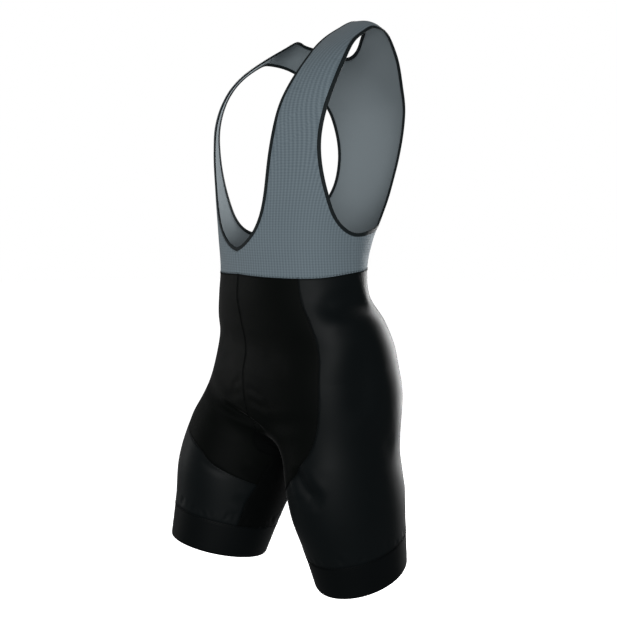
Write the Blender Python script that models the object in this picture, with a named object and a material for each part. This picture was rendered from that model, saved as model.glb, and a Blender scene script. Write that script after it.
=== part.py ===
"""Bib shorts worn on an unseen rider: stretch shorts, knitted bib, bound edges and leg grippers.

The front faces -Y, the wearer's left is +X and up is +Z. The origin is under the straps, where they cross the
shoulders. Every panel is cut from one body form and keeps that form's pose, the right leg forward.
"""

import bpy
import numpy as np
from mathutils.geometry import delaunay_2d_cdt

for old in list(bpy.data.objects):
    bpy.data.objects.remove(old, do_unlink=True)

# Cloth, in metres.
PANEL_WALL = 0.0016
KNIT_WALL = 0.0014
GRIPPER_WALL = 0.0020
SEAM_GAP = 0.0003
BINDING_WIDTH = 0.0060
BINDING_THICKNESS = 0.0026
PANEL_STEP = 0.0185
KNIT_STEP = 0.0175

# Body sections from the hips to the neck: distance along the form, height, half width, front, back, middle.
SECTIONS = np.array([
    # along, height, half, front, back, middle
    (-0.155, -0.531, 0.1603, -0.1565, 0.0666, -0.0460),
    (-0.115, -0.491, 0.1672, -0.1504, 0.0724, -0.0460),
    (-0.075, -0.451, 0.1617, -0.1584, 0.0593, -0.0460),
    (-0.035, -0.411, 0.1424, -0.1655, 0.0318, -0.0460),
    (0.000, -0.376, 0.1373, -0.1639, 0.0272, -0.0460),
    (0.055, -0.321, 0.1363, -0.1680, 0.0496, -0.0463),
    (0.128, -0.251, 0.1467, -0.1710, 0.0966, -0.0364),
    (0.198, -0.181, 0.1614, -0.1695, 0.1182, -0.0274),
    (0.239, -0.141, 0.1743, -0.1620, 0.1192, -0.0199),
    (0.285, -0.099, 0.1837, -0.1420, 0.1104, -0.0117),
    (0.312, -0.076, 0.1845, -0.1248, 0.0977, -0.0079),
    (0.343, -0.051, 0.1757, -0.0982, 0.0816, -0.0080),
    (0.371, -0.031, 0.1559, -0.0691, 0.0678, -0.0113),
    (0.396, -0.016, 0.1385, -0.0444, 0.0558, -0.0112),
    (0.425, -0.003, 0.1196, -0.0228, 0.0465, -0.0032),
    (0.455, 0.006, 0.0953, -0.0094, 0.0350, 0.0052),
    (0.490, 0.0115, 0.0650, -0.0010, 0.0230, 0.0100),
    (0.540, 0.0145, 0.0150, 0.0080, 0.0130, 0.0100),
])
ROUND = 2.3
WAIST_Z = -0.367
WAIST_MIDDLE = -0.046
HIP_Z = -0.531
HIP_DEPTH = 0.127
HIP_ROUND = 2.6
HIP_FALL = 0.11

# Legs: each thigh runs from the hip joint to the middle of its hem. Sides: 1 is the wearer's left, -1 the right.
HIP_JOINT = {1: np.array([0.0862, -0.0536, -0.5448]), -1: np.array([-0.0862, -0.0536, -0.5448])}
HEM_MIDDLE = {1: np.array([0.1129, -0.0030, -0.8612]), -1: np.array([-0.0931, -0.1486, -0.8490])}
TOE_OUT = {1: -0.0934, -1: -0.1390}
GIRTH = {1: 1.0, -1: 1.04}
THIGH = np.array([
    # share of the way to the hem, half width, half depth
    (-0.20, 0.0623, 0.0633),
    (0.10, 0.0695, 0.0790),
    (0.35, 0.0781, 0.1010),
    (0.60, 0.0787, 0.1054),
    (0.80, 0.0747, 0.0931),
    (1.00, 0.0681, 0.0840),
    (1.10, 0.0640, 0.0800),
])
THIGH_CAP_START, THIGH_CAP_LENGTH = -0.02, 0.30
SEAT_MIDDLE = np.array([0.0779, 0.0029, -0.5759])
SEAT_HALF = np.array([0.0852, 0.0776, 0.1086])
BLEND = 0.035

# Shorts chart: u runs round from the centre front (0) by the outside to the centre back (1), v from waist to hem.
CROTCH_V = 0.5
CROTCH_TILT = 0.20
CROTCH_Y = -0.050
CROTCH_TURN = 1.6
GRIPPER_V = 0.868
GRIPPER_RINGS = (0.912, 0.956, 1.000)
ROUND_METRES = 0.46
DOWN_KEYS = (0.0, 0.5, 1.0)
DOWN_METRES = (0.0, 0.30, 0.48)
DOWN_SCALE = 0.5
WAIST_CURVE = np.array([
    # u, v
    (0.00, 0.0150), (0.20, 0.0185), (0.38, 0.0185), (0.55, 0.0075), (0.70, 0.0010), (1.00, 0.0000),
])
SIDE_SEAM = [
    # u, v
    (0.303, 0.019), (0.311, 0.079), (0.314, 0.179), (0.312, 0.271), (0.306, 0.345), (0.297, 0.402),
    (0.285, 0.448), (0.268, 0.488), (0.250, 0.522), (0.229, 0.555), (0.203, 0.582), (0.170, 0.607),
    (0.135, 0.632), (0.102, 0.651), (0.075, 0.664),
]
INNER_FRONT_TOP = [(0.000, 0.427), (0.031, 0.456), (0.056, 0.490), (0.070, 0.535), (0.075, 0.600), (0.075, 0.664)]
INNER_FRONT_LOW = [(0.075, 0.664), (0.074, 0.750), (0.066, GRIPPER_V)]
INNER_BACK = [(0.000, 0.443), (-0.038, 0.470), (-0.064, 0.505), (-0.080, 0.560), (-0.088, 0.650), (-0.088, 0.750),
              (-0.080, GRIPPER_V)]

# Bib chart: angle from the centre front in degrees, distance along the form.
ANGLE_ARM = 0.155
NECK_EDGE = [
    # angle, along
    (0.0, 0.0347), (8.3, 0.0469), (16.9, 0.0650), (22.4, 0.0897), (24.9, 0.1175), (25.9, 0.1457),
    (26.6, 0.1726), (27.0, 0.2001), (26.8, 0.2279), (26.6, 0.2557), (27.2, 0.2827), (27.7, 0.3097),
    (27.7, 0.3346), (26.7, 0.3577), (26.0, 0.3805), (26.5, 0.4065), (36.4, 0.4431), (90.3, 0.4822),
    (140.9, 0.4469), (160.6, 0.4206), (171.8, 0.3936), (180.0, 0.3826),
]
ARM_EDGE = [
    # angle, along
    (88.4, 0.0605), (75.2, 0.0830), (66.1, 0.1196), (59.6, 0.1574), (55.6, 0.1952), (53.6, 0.2341),
    (52.9, 0.2734), (52.3, 0.3137), (53.9, 0.3513), (69.9, 0.3849), (103.7, 0.3967), (130.6, 0.3758),
    (145.5, 0.3411), (152.4, 0.3049), (154.2, 0.2649), (155.2, 0.2246), (154.9, 0.1857), (153.8, 0.1491),
    (149.1, 0.1155), (140.2, 0.0890), (125.2, 0.0725), (105.8, 0.0634),
]
NECK_STATIONS = 47
ARM_STATIONS = 60
FRONT_MIDDLE_PIECES = 2
BACK_MIDDLE_PIECES = 21
BINDING_SECTION = [
    # share of the half width into the cloth, share of the half thickness out of it
    (-1.00, -0.50), (-0.75, -1.00), (0.80, -1.00), (1.00, -0.55), (1.00, 0.55), (0.80, 1.00), (-0.75, 1.00),
    (-1.00, 0.50),
]

# Colour and roughness of each cloth.
CLOTH = {
    "front": ((0.0085, 0.0090, 0.0085), 0.62),
    "side": ((0.0130, 0.0165, 0.0180), 0.42),
    "inner": ((0.0080, 0.0095, 0.0100), 0.60),
    "gripper": ((0.0090, 0.0105, 0.0105), 0.55),
    "knit": ((0.1300, 0.1650, 0.1900), 0.80),
    "binding": ((0.0180, 0.0220, 0.0240), 0.65),
}

# How finely the charts and the flat panels are worked out.
LINE_SAMPLES = 1200
ROW_COUNT, ROUND_COUNT = 121, 97
LOOSE_REACH = 0.45
LOOSE_COLUMNS = 12
SPREAD_TURNS = 400
SETTLE_EVERY = 20
PROBE = 0.0002
MITRE_LIMIT = 0.35
LATTICE_RISE = np.sqrt(3) / 2
LATTICE_CLEAR = 0.55


# Curves and the body form

def smooth_rows(table, at):
    """Each column of the table at these keys, by a smooth curve through its rows."""
    keys, values = table[:, 0], table[:, 1:]
    at = np.clip(np.asarray(at, float), keys[0], keys[-1])
    row = np.clip(np.searchsorted(keys, at, side="right") - 1, 0, len(keys) - 2)
    slope = np.gradient(values, keys, axis=0)
    wide = (keys[row + 1] - keys[row])[..., None]
    t = (at - keys[row])[..., None] / wide
    out = (2 * t**3 - 3 * t**2 + 1) * values[row] + (t**3 - 2 * t**2 + t) * wide * slope[row]
    out += (-2 * t**3 + 3 * t**2) * values[row + 1] + (t**3 - t**2) * wide * slope[row + 1]
    return np.moveaxis(out, -1, 0)


def smooth_line(points, scale, count, closed=False):
    """Evenly spaced points along a smooth line through these chart points."""
    points = np.array(points, float)
    if closed:
        points = np.concatenate([points[-2:], points, points[:3]])
    steps = np.linalg.norm(np.diff(points * scale, axis=0), axis=1)
    keys = np.concatenate([[0], np.cumsum(steps)])
    first, last = (keys[2], keys[-3]) if closed else (keys[0], keys[-1])
    table = np.concatenate([keys[:, None], points], axis=1)
    fine = np.stack(smooth_rows(table, np.linspace(first, last, LINE_SAMPLES)), -1)
    return fine[even_picks(fine * scale, count, closed)]


def even_picks(line, count, closed):
    """Row numbers of points a constant way apart along a finely drawn line."""
    run = np.concatenate([[0], np.cumsum(np.linalg.norm(np.diff(line, axis=0), axis=1))])
    want = np.linspace(0, run[-1], count + 1 if closed else count)
    picks = np.searchsorted(run, want).clip(0, len(line) - 1)
    return picks[:-1] if closed else picks


def signed_power(x, power):
    return np.sign(x) * np.abs(x) ** power


def trunk(angle, along):
    """Points of the trunk form at an angle from the centre front and a distance along it."""
    height, half, front, back, middle = smooth_rows(SECTIONS, along)
    ahead = np.cos(angle)
    deep = np.where(ahead > 0, middle - front, back - middle)
    x = half * signed_power(np.sin(angle), 2 / ROUND)
    return np.stack([x, middle - signed_power(ahead, 2 / ROUND) * deep, height], -1)


def trunk_slopes(angle, along):
    step = 1e-4
    round_it = (trunk(angle + step, along) - trunk(angle - step, along)) / (2 * step)
    up_it = (trunk(angle, along + step) - trunk(angle, along - step)) / (2 * step)
    return round_it, up_it


def unit(vectors):
    return vectors / np.linalg.norm(vectors, axis=-1, keepdims=True)


def trunk_normals(angle, along):
    round_it, up_it = trunk_slopes(angle, along)
    return unit(np.cross(round_it, up_it))


def leg_axes(side):
    """Unit vectors along the thigh, outward and forward, and the thigh's length."""
    along = HEM_MIDDLE[side] - HIP_JOINT[side]
    length = np.linalg.norm(along)
    along = along / length
    outward = np.array([side, 0.0, 0.0])
    outward = unit(outward - outward @ along * along)
    forward = np.cross(along, outward) * side
    forward = forward if forward[1] < 0 else -forward
    turn_cos, turn_sin = np.cos(TOE_OUT[side]), np.sin(TOE_OUT[side])
    return along, outward * turn_cos + forward * turn_sin, forward * turn_cos - outward * turn_sin, length


def melt(one, other):
    """The lesser of two distances, rounded where they meet."""
    near = np.maximum(BLEND - np.abs(one - other), 0) / BLEND
    return np.minimum(one, other) - near * near * BLEND / 4


def body(points):
    """How far outside the body form points lie; negative is inside."""
    x, y, z = points[..., 0], points[..., 1], points[..., 2]
    half, front, back, middle = smooth_rows(SECTIONS[:9, 1:], z)
    deep = np.where(y < middle, middle - front, back - middle)
    plan = (np.abs(x / half) ** ROUND + np.abs((y - middle) / deep) ** ROUND) ** (1 / ROUND)
    below = np.maximum(HIP_Z - z, 0) / HIP_DEPTH
    found = ((plan**HIP_ROUND + below**HIP_ROUND) ** (1 / HIP_ROUND) - 1) * HIP_FALL
    for side in (1, -1):
        along, outward, forward, length = leg_axes(side)
        offset = points - HIP_JOINT[side]
        share = offset @ along / length
        wide, deep = smooth_rows(THIGH, share) * GIRTH[side]
        ring = (offset @ outward / wide) ** 2 + (offset @ forward / deep) ** 2
        cap = np.minimum(share - THIGH_CAP_START, 0) / THIGH_CAP_LENGTH
        thigh = (np.sqrt(ring + cap**2) - 1) * np.minimum(wide, deep)
        seat = (points - SEAT_MIDDLE * np.array([side, 1, 1])) / SEAT_HALF
        seat = (np.linalg.norm(seat, axis=-1) - 1) * SEAT_HALF[1]
        found = melt(found, melt(thigh, seat))
    return found


def body_slopes(points):
    steps = np.eye(3) * 2e-4
    return np.stack([body(points + step) - body(points - step) for step in steps], -1) / 4e-4


def body_normals(points):
    return unit(body_slopes(points))


def onto_body(points):
    """Points near the body form, moved straight onto it."""
    for _ in range(5):
        slopes = body_slopes(points)
        points = points - slopes * (body(points) / (slopes**2).sum(-1))[..., None]
    return points


def cast(starts, ways, reach=0.30, steps=40):
    """Where rays that start inside the body first leave it."""
    ways = unit(ways)
    low = np.zeros(len(ways))
    high = np.full(len(ways), reach)
    found = np.zeros(len(ways), bool)
    for step in range(1, steps + 1):
        here = reach * step / steps
        left = ~found
        left[left] = body(starts[left] + ways[left] * here) > 0
        high[left] = here
        low[left] = reach * (step - 1) / steps
        found |= left
    for _ in range(20):
        middle = (low + high) / 2
        out = body(starts + ways * middle[:, None]) > 0
        high = np.where(out, middle, high)
        low = np.where(out, low, middle)
    return starts + ways * high[:, None]


CROTCH = cast(np.array([[0.0, CROTCH_Y, HIP_Z - 0.02]]), np.array([[0.0, 0.0, -1.0]]))[0]


# Chart of the shorts: rows from the waist to the hems

def eased_step(x):
    x = np.clip(x, 0, 1)
    return x * x * (3 - 2 * x)


def rows(side, v):
    """Middles of the rows at v with their inward and forward directions."""
    v = np.asarray(v, float)[:, None]
    along, _, _, length = leg_axes(side)
    tilted_up = unit(np.array([-side * CROTCH_TILT, 0.0, 1.0]))
    reach = (CROTCH - HIP_JOINT[side]) @ tilted_up / (along @ tilted_up)
    start = HIP_JOINT[side] + along * reach
    eased = np.minimum(v / CROTCH_V, 1)
    tilt = CROTCH_TILT * eased**2
    middle_x = start[0] * eased**2
    middle_y = WAIST_MIDDLE + (start[1] - WAIST_MIDDLE) * eased**2
    height = WAIST_Z + (CROTCH[2] - WAIST_Z) * eased
    upper = np.concatenate([middle_x, middle_y, height + tilt * np.abs(middle_x)], 1)
    upper_up = unit(np.concatenate([-side * tilt, 0 * tilt, 1 + 0 * tilt], 1))
    share = np.maximum(v - CROTCH_V, 0) / (1 - CROTCH_V)
    lower = HIP_JOINT[side] + along * (reach + (length - reach) * share)
    turn = eased_step(share * CROTCH_TURN)
    lower_up = unit(tilted_up * (1 - turn) - along * turn)
    high = v <= CROTCH_V
    middle = np.where(high, upper, lower)
    up = np.where(high, upper_up, lower_up)
    forward = np.array([0.0, -1.0, 0.0])
    forward = unit(forward - (up @ forward)[:, None] * up)
    inward = np.cross(up, forward)
    inward = np.where(inward[:, :1] * side > 0, -inward, inward)
    return middle, inward, forward


def row_ends(side, v):
    """Points where the rows above the crotch meet the centre front and the centre back, and their angles."""
    middle, inward, forward = rows(side, v)
    share = np.minimum(v / CROTCH_V, 1)[:, None]
    height = WAIST_Z + (CROTCH[2] - WAIST_Z) * share
    inside = np.concatenate([0 * height, CROTCH[1] * share + WAIST_MIDDLE * (1 - share), height], 1)
    inside[v >= CROTCH_V] = CROTCH
    points, angles = [], []
    for way in (-1.0, 1.0):
        met = cast(inside, np.tile([0.0, way, 0.0], (len(v), 1)))
        met[v >= CROTCH_V] = CROTCH
        offset = met - middle
        points.append(met)
        angles.append(np.arctan2((offset * forward).sum(1), (offset * inward).sum(1)))
    angles[1] = np.where(angles[1] <= 0, angles[1] + 2 * np.pi, angles[1])
    below = np.maximum(v - CROTCH_V, 0) / (1 - CROTCH_V)
    angles[0] = angles[0] * (1 - below)
    angles[1] = np.where(v >= CROTCH_V, angles[0] + 2 * np.pi, angles[1])
    return points, angles


def row_key(v):
    """Row numbers of v, spread so that the rows crowd together at the crotch."""
    from_crotch = (v - CROTCH_V) / CROTCH_V
    return (np.sign(from_crotch) * np.sqrt(np.abs(from_crotch)) + 1) / 2 * (ROW_COUNT - 1)


def spread_evenly(grid, loose, joined_rows):
    """The loose points of a grid moved to lie evenly between their neighbours on the body form."""
    for turn in range(SPREAD_TURNS):
        before = np.concatenate([grid[:, -2:-1], grid[:, :-1]], axis=1)
        after = np.concatenate([grid[:, 1:], grid[:, 1:2]], axis=1)
        above = np.concatenate([grid[:1], grid[:-1]])
        under = np.concatenate([grid[1:], grid[-1:]])
        grid[loose] = ((before + after + above + under) / 4)[loose]
        grid[joined_rows, -1] = grid[joined_rows, 0]
        if turn % SETTLE_EVERY == SETTLE_EVERY - 1:
            grid[loose] = onto_body(grid[loose])
    return grid


def shorts_grid(side):
    """Points of the shorts form: a line for each row number, at even steps of the way round it."""
    place = np.linspace(-1, 1, ROW_COUNT)
    v = CROTCH_V + CROTCH_V * np.sign(place) * place**2
    share = np.linspace(0, 1, ROUND_COUNT)
    (front, back), (first, last) = row_ends(side, v)
    angle = (first[:, None] + (last - first)[:, None] * share).ravel()[:, None]
    middle, inward, forward = (np.repeat(part, ROUND_COUNT, axis=0) for part in rows(side, v))
    grid = cast(middle, np.cos(angle) * inward + np.sin(angle) * forward).reshape(ROW_COUNT, ROUND_COUNT, 3)
    upper = place <= 1e-9
    grid[upper, 0], grid[upper, -1] = front[upper], back[upper]
    near = np.abs(place) < LOOSE_REACH
    edge = LOOSE_COLUMNS
    for k in np.flatnonzero(near & upper):
        grid[k, : edge + 1] = np.linspace(grid[k, 0], grid[k, edge], edge + 1)
        grid[k, -edge - 1 :] = np.linspace(grid[k, -edge - 1], grid[k, -1], edge + 1)
    column = np.arange(ROUND_COUNT)
    loose = near[:, None] & ((column < edge) | (column > ROUND_COUNT - 1 - edge))
    loose[upper, 0] = loose[upper, -1] = False
    grid = spread_evenly(grid, loose, ~upper)
    run = np.linalg.norm(np.diff(grid, axis=1), axis=2).cumsum(axis=1)
    run = np.concatenate([np.zeros((ROW_COUNT, 1)), run], axis=1)
    for k in range(ROW_COUNT):
        grid[k] = np.stack([np.interp(share * run[k, -1], run[k], grid[k, :, c]) for c in range(3)], -1)
    return grid


GRID = {side: shorts_grid(side) for side in (1, -1)}


def shorts(side, u, v):
    """Points of the shorts form. u below 0 or above 1 carries on round the leg."""
    u = np.asarray(u, float)
    turns = np.floor(np.where((u >= 0) & (u <= 1), 0, u))
    column = (u - turns) * (ROUND_COUNT - 1)
    row = np.clip(row_key(np.asarray(v, float)), 0, ROW_COUNT - 1)
    left = np.clip(column.astype(int), 0, ROUND_COUNT - 2)
    top = np.clip(row.astype(int), 0, ROW_COUNT - 2)
    across, down = (column - left)[:, None], (row - top)[:, None]
    grid = GRID[side]
    above = grid[top, left] * (1 - across) + grid[top, left + 1] * across
    under = grid[top + 1, left] * (1 - across) + grid[top + 1, left + 1] * across
    return onto_body(above * (1 - down) + under * down)


# Panels: a flat outline is filled with triangles, laid on the form and given a wall

def inset(outline, by):
    """The outline moved inward, its points taken anticlockwise."""
    ahead = np.roll(outline, -1, axis=0) - outline
    behind = outline - np.roll(outline, 1, axis=0)
    ahead, behind = unit(ahead), unit(behind)
    normals = unit(np.stack([-(ahead + behind)[:, 1], (ahead + behind)[:, 0]], -1))
    lean = np.clip((normals * np.stack([-ahead[:, 1], ahead[:, 0]], -1)).sum(1), MITRE_LIMIT, 1)
    return outline + normals * (by / lean)[:, None]


def area(outline):
    nxt = np.roll(outline, -1, axis=0)
    return 0.5 * (outline[:, 0] * nxt[:, 1] - outline[:, 1] * nxt[:, 0]).sum()


def inside(points, outlines):
    """Which points lie inside the outlines, by counting crossings."""
    found = np.zeros(len(points), bool)
    for outline in outlines:
        a, b = outline, np.roll(outline, -1, axis=0)
        for (ax, ay), (bx, by) in zip(a, b):
            if ay == by:
                continue
            crosses = (points[:, 1] < ay) != (points[:, 1] < by)
            at = ax + (points[:, 1] - ay) / (by - ay) * (bx - ax)
            found ^= crosses & (points[:, 0] < at)
    return found


def clearance(points, outlines):
    """Distance from each point to the nearest outline."""
    nearest = np.full(len(points), np.inf)
    for outline in outlines:
        for a, b in zip(outline, np.roll(outline, -1, axis=0)):
            way = b - a
            share = np.clip((points - a) @ way / max(way @ way, 1e-18), 0, 1)
            nearest = np.minimum(nearest, np.linalg.norm(points - a - share[:, None] * way, axis=1))
    return nearest


def fill(outlines, step):
    """Points and triangles that fill the outlines, the outline points first and in order."""
    every = np.concatenate(outlines)
    low, high = every.min(0), every.max(0)
    rise = step * LATTICE_RISE
    lattice = []
    for k, y in enumerate(np.arange(low[1] + rise / 2, high[1], rise)):
        xs = np.arange(low[0] + (0.25 + 0.5 * (k % 2)) * step, high[0], step)
        lattice.append(np.stack([xs, np.full(len(xs), y)], -1))
    lattice = np.concatenate(lattice)
    lattice = lattice[inside(lattice, outlines)]
    lattice = lattice[clearance(lattice, outlines) > step * LATTICE_CLEAR]
    points = np.concatenate([every, lattice])
    edges = []
    first = 0
    for outline in outlines:
        count = len(outline)
        edges += [(first + k, first + (k + 1) % count) for k in range(count)]
        first += count
    found = delaunay_2d_cdt([tuple(p) for p in points], edges, [], 0, 1e-9)
    origin = [ids[0] for ids in found[3]]
    faces = np.array([[origin[k] for k in face] for face in found[2]])
    centres = points[faces].mean(1)
    faces = faces[inside(centres, outlines)]
    twice = np.cross(points[faces[:, 1]] - points[faces[:, 0]], points[faces[:, 2]] - points[faces[:, 0]])
    faces[twice < 0] = faces[twice < 0][:, ::-1]
    return points, faces


def rim_edges(faces):
    """Directed edges that belong to one triangle only."""
    edges = np.concatenate([faces[:, [0, 1]], faces[:, [1, 2]], faces[:, [2, 0]]])
    seen = {(a, b) for a, b in edges.tolist()}
    return [(a, b) for a, b in edges.tolist() if (b, a) not in seen]


RIM_ORDER = np.array([0.37, 0.21, 1.0])


def walled(outer, inner, faces, rim):
    """Points and faces of the closed solid between two sheets. Both sides of a seam split their rims alike."""
    count = len(outer)
    solid = [tuple(face) for face in faces.tolist()]
    solid += [(c + count, b + count, a + count) for a, b, c in faces.tolist()]
    rank = outer @ RIM_ORDER
    for a, b in rim:
        if rank[a] > rank[b]:
            solid += [(b, a, a + count), (b, a + count, b + count)]
        else:
            solid += [(b, a, b + count), (a, a + count, b + count)]
    return np.concatenate([outer, inner]), solid


def add_object(name, points, faces, cloth):
    mesh = bpy.data.meshes.new(name)
    mesh.from_pydata([tuple(p) for p in points.tolist()], [], faces)
    mesh.validate()
    piece = bpy.data.objects.new(name, mesh)
    bpy.context.scene.collection.objects.link(piece)
    colour, rough = CLOTH[cloth]
    material = bpy.data.materials.new(name)
    material.use_nodes = True
    shader = material.node_tree.nodes["Principled BSDF"]
    shader.inputs["Base Color"].default_value = (*colour, 1.0)
    shader.inputs["Roughness"].default_value = rough
    mesh.materials.append(material)
    return piece


def facing_out(points, faces, normals):
    """The triangles, all turned so that they face along the form's normals."""
    a, b, c = points[faces[:, 0]], points[faces[:, 1]], points[faces[:, 2]]
    agree = (np.cross(b - a, c - a) * normals[faces[:, 0]]).sum()
    return faces if agree > 0 else faces[:, ::-1]


# Seams of the shorts, shared by the panels on both sides of them

def to_metres(chart):
    chart = np.asarray(chart, float)
    return np.stack([chart[:, 0] * ROUND_METRES, np.interp(chart[:, 1], DOWN_KEYS, DOWN_METRES)], -1)


def from_metres(flat):
    return flat[:, 0] / ROUND_METRES, np.interp(flat[:, 1], DOWN_METRES, DOWN_KEYS)


def seam(table, pieces):
    return smooth_line(table, np.array([ROUND_METRES, DOWN_SCALE]), pieces + 1)


def straight(start, end, pieces):
    return np.linspace(start, end, pieces + 1)


def waist_line(start, end, pieces):
    """Points along the waist seam, which dips at the sides and rises at the back."""
    u = np.linspace(start, end, pieces + 1)
    return np.stack([u, smooth_rows(WAIST_CURVE, u)[0]], -1)


SIDE_LINE = seam(SIDE_SEAM, 22)
INNER_TOP_LINE = seam(INNER_FRONT_TOP, 12)
INNER_LOW_LINE = seam(INNER_FRONT_LOW, 6)
INNER_BACK_LINE = seam(INNER_BACK, 17)
WAIST_FRONT = waist_line(0.0, SIDE_SEAM[0][0], 9)
WAIST_SIDE = waist_line(SIDE_SEAM[0][0], 1.0, 20)
SIDE_LINE[0] = WAIST_SIDE[0]
FRONT_MIDDLE = straight(WAIST_FRONT[0], INNER_FRONT_TOP[0], 14)
BACK_MIDDLE = straight(WAIST_SIDE[-1], (1.0, INNER_BACK[0][1]), 14)
LEG_BACK = straight(INNER_BACK[-1], INNER_FRONT_LOW[-1], 5)
LEG_SIDE = straight(INNER_FRONT_LOW[-1], (1.0 + INNER_BACK[-1][0], GRIPPER_V), 29)


def crotch_line(end_v, shares):
    """The middle line from the crotch to where an inner leg seam meets it, its points close at the crotch."""
    return np.stack([0 * shares, CROTCH_V - (CROTCH_V - end_v) * shares**2], -1)


CROTCH_FRONT = crotch_line(INNER_FRONT_TOP[0][1], np.linspace(1, 0, 9))
CROTCH_BACK = crotch_line(INNER_BACK[0][1], np.linspace(0, 1, 8))
CROTCH_NOTCH = np.array([SEAM_GAP / ROUND_METRES / 100, 0.0])


def joined(*lines):
    """One closed outline from lines that follow on from each other."""
    return np.concatenate([line[:-1] for line in lines])


def inset_on_form(flat, side, by):
    """The outline moved inward by a distance measured across the seam on the form itself."""
    points = shorts(side, *from_metres(flat))
    base = inset(flat, 2.5 * PROBE)
    ways = np.array([(1, 0), (-1, 0), (0, 1), (0, -1)]) * PROBE
    moved = [shorts(side, *from_metres(base + way)) for way in ways]
    right, up = (moved[0] - moved[1]) / (2 * PROBE), (moved[2] - moved[3]) / (2 * PROBE)
    first = unit(right)
    second = unit(up - (up * first).sum(1, keepdims=True) * first)
    frame = np.stack([first, second], 1)
    to_frame = frame @ np.stack([right, up], 2)
    ahead = unit(np.einsum("kij,kj->ki", frame, np.roll(points, -1, axis=0) - points))
    behind = unit(np.einsum("kij,kj->ki", frame, points - np.roll(points, 1, axis=0)))
    across = unit(np.stack([-(ahead + behind)[:, 1], (ahead + behind)[:, 0]], -1))
    lean = np.clip((across * np.stack([-ahead[:, 1], ahead[:, 0]], -1)).sum(1), MITRE_LIMIT, 1)
    move = across * (by / lean)[:, None]
    return flat + np.linalg.solve(to_frame, move[:, :, None])[:, :, 0]


def shorts_panel(name, side, outline, cloth):
    flat = to_metres(outline)
    if area(flat) < 0:
        flat = flat[::-1]
    flat = inset_on_form(flat, side, SEAM_GAP / 2)
    points, faces = fill([flat], PANEL_STEP)
    outer = shorts(side, *from_metres(points))
    normals = body_normals(outer)
    faces = facing_out(outer, faces, normals)
    inner = outer - normals * PANEL_WALL
    for sheet in (outer, inner):
        sheet[:, 0] = side * np.maximum(side * sheet[:, 0], SEAM_GAP / 2)
    solid = walled(outer, inner, faces, rim_edges(faces))
    return add_object(name, *solid, cloth)


for side, word in ((1, "left"), (-1, "right")):
    shorts_panel(
        "front_" + word, side,
        joined(WAIST_FRONT, SIDE_LINE, INNER_TOP_LINE[::-1], FRONT_MIDDLE[::-1]), "front",
    )
    back_line = INNER_BACK_LINE + np.array([1.0, 0.0])
    shorts_panel(
        "side_back_" + word, side,
        joined(WAIST_SIDE, BACK_MIDDLE, back_line, LEG_SIDE[::-1], INNER_LOW_LINE[::-1], SIDE_LINE[::-1]), "side",
    )
    shorts_panel(
        "inner_leg_" + word, side,
        joined(
            INNER_TOP_LINE, INNER_LOW_LINE, LEG_BACK[::-1], INNER_BACK_LINE[::-1],
            CROTCH_BACK[::-1] - CROTCH_NOTCH, CROTCH_FRONT[::-1] + CROTCH_NOTCH,
        ), "inner",
    )


# Gripper bands: rings round each hem

def gripper(name, side):
    around = np.concatenate([LEG_BACK[:-1, 0], LEG_SIDE[:-1, 0]])
    leg_metres = (DOWN_METRES[2] - DOWN_METRES[1]) / (DOWN_KEYS[2] - DOWN_KEYS[1])
    levels = np.array([GRIPPER_V + SEAM_GAP / 2 / leg_metres, *GRIPPER_RINGS])
    u = np.tile(around, len(levels))
    v = np.repeat(levels, len(around))
    outer = shorts(side, u, v)
    normals = body_normals(outer)
    count = len(around)
    faces = []
    for row in range(len(levels) - 1):
        for k in range(count):
            a, b = row * count + k, row * count + (k + 1) % count
            faces += [(a, b, b + count), (a, b + count, a + count)]
    faces = facing_out(outer, np.array(faces), normals)
    solid = walled(outer, outer - normals * GRIPPER_WALL, faces, rim_edges(faces))
    return add_object(name, *solid, "gripper")


gripper("gripper_left", 1)
gripper("gripper_right", -1)


# Bound edges of the bib

ANGLE_SCALE = np.array([np.pi / 180 * ANGLE_ARM, 1.0])


def edge_frames(line, closed):
    """Points of an edge line on the trunk with the way along it, out of the cloth and into the cloth."""
    angle, along = np.radians(line[:, 0]), line[:, 1]
    points = trunk(angle, along)
    normals = trunk_normals(angle, along)
    if closed:
        ways = np.roll(points, -1, axis=0) - np.roll(points, 1, axis=0)
    else:
        mirror = np.array([-1, 1, 1])
        padded = np.concatenate([points[1:2] * mirror, points, points[-2:-1] * mirror])
        ways = padded[2:] - padded[:-2]
        ways[[0, -1]] *= np.array([1, 0, 0])
    ways = unit(ways)
    into = unit(np.cross(normals, ways))
    centre = points.mean(0) * (1 if closed else np.array([0, 1, 1]))
    if (into * (points - centre)).sum() < 0:
        into = -into
    return points, ways, normals, into


def panel_line(line, closed):
    """The knit's own edge, in the chart: the edge line moved into the cloth to clear the binding."""
    _, _, _, into = edge_frames(line, closed)
    move = into * (BINDING_WIDTH / 2 + SEAM_GAP)
    angle, along = np.radians(line[:, 0]), line[:, 1].copy()
    round_it, up_it = trunk_slopes(angle, along)
    g11, g12, g22 = (round_it**2).sum(1), (round_it * up_it).sum(1), (up_it**2).sum(1)
    m1, m2 = (move * round_it).sum(1), (move * up_it).sum(1)
    spread = g11 * g22 - g12 * g12
    angle = angle + (m1 * g22 - m2 * g12) / spread
    along = along + (m2 * g11 - m1 * g12) / spread
    if not closed:
        angle[0], angle[-1] = 0.0, np.pi
    return np.stack([angle * ANGLE_ARM, along], -1)


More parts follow.
